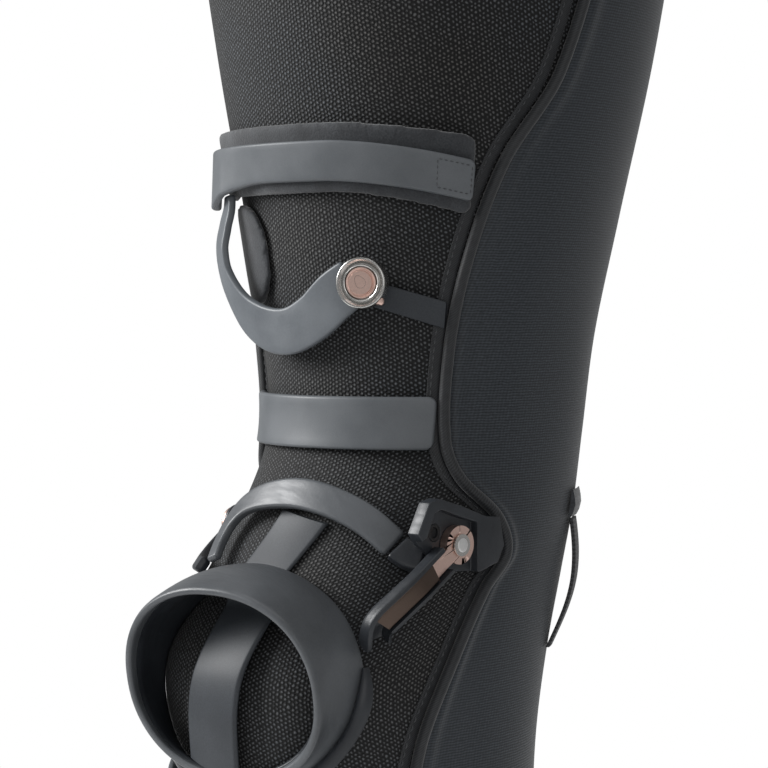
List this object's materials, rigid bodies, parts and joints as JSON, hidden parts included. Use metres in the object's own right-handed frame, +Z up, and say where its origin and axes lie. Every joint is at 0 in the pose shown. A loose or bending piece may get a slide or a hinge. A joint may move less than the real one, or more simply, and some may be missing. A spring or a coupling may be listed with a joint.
{
  "type": "knee brace",
  "caption": "Hinged knee brace: knit and neoprene leg sleeve with a patella ring on two side links, an upper arch, cuffs and a pivoting side arm.",
  "frame": {"origin": "on the knee hinge axis, midway between the two hinge pins", "axes": "+Z up the leg to the thigh opening, +X to the lateral side, -Y to the front"},
  "size_m": [0.1944, 0.2349, 0.45],
  "materials": {
    "knit": "dense warp knit with a fine pale dot",
    "neoprene": "fine ribbed face cloth over foam, satin",
    "piping": "bound double-welt seam",
    "hem": "folded and coverstitched edge",
    "band_grey": "matt silicone-coated elastic",
    "pad": "brushed cover over foam",
    "arm_grey": "smooth moulded, satin",
    "frame_grey": "smooth moulded, satin",
    "frame_dark": "fine moulded grain",
    "strap_dark": "smooth moulded",
    "steel": "turned, bright",
    "copper_tint": "copper-tinted plating, satin",
    "bronze": "dark bronze anodised bar",
    "foam": "closed-cell foam"
  },
  "bodies": {
    "thigh": {"thigh_knit_panel": "knit", "thigh_back_panel": "neoprene", "thigh_hem": "hem", "thigh_piping_lateral": "piping", "thigh_piping_medial": "piping", "cuff_pad": "pad", "cuff_strap": "band_grey", "middle_band": "band_grey", "arm_pad": "foam", "rivet_strap": "strap_dark", "rivet_post": "steel", "rivet_screw": "copper_tint", "patella_arch": "frame_grey", "arch_cap_lateral": "frame_dark", "arch_cap_medial": "frame_dark", "arch_strap": "strap_dark", "hinge_bracket_lateral": "frame_dark", "hinge_bracket_medial": "frame_dark", "bracket_pad_lateral": "foam", "bracket_pad_medial": "foam", "hinge_socket_lateral": "foam", "hinge_socket_medial": "foam", "hinge_pin_lateral": "steel", "hinge_pin_medial": "steel", "knee_gusset_knit": "knit", "knee_gusset_back": "neoprene", "knee_piping_lateral": "piping", "knee_piping_medial": "piping", "popliteal_insert": "piping", "pull_loop": "piping", "pull_tab": "pad"},
    "arm": {"swing_arm": "arm_grey", "rivet_cup": "steel"},
    "shin": {"shin_knit_panel": "knit", "shin_back_panel": "neoprene", "shin_hem": "hem", "shin_piping_lateral": "piping", "shin_piping_medial": "piping", "shin_cuff_pad": "pad", "shin_cuff": "band_grey", "patella_ring": "frame_grey", "ring_flange": "frame_dark", "patella_strap": "strap_dark", "knuckle_lateral": "copper_tint", "knuckle_medial": "copper_tint", "link_arm_lateral": "frame_dark", "link_arm_medial": "frame_dark", "link_rod_lateral": "bronze", "link_rod_medial": "bronze"}
  },
  "joints": [
    {"name": "knee_hinge", "type": "hinge", "parent": "thigh", "child": "shin", "pos_m": [0, 0, 0], "axis": [1, 0, 0], "range_deg": [-5, 60], "stiffness_Nm_per_rad": 1.5, "deforming": ["knee_gusset_knit", "knee_gusset_back", "knee_piping_lateral", "knee_piping_medial", "popliteal_insert", "pull_loop", "pull_tab"]},
    {"name": "arm_pivot", "type": "hinge", "parent": "thigh", "child": "arm", "pos_m": [0.03066, -0.01152, 0.0967], "axis": [0.4617, -0.887, 0], "range_deg": [0, 12]}
  ]
}
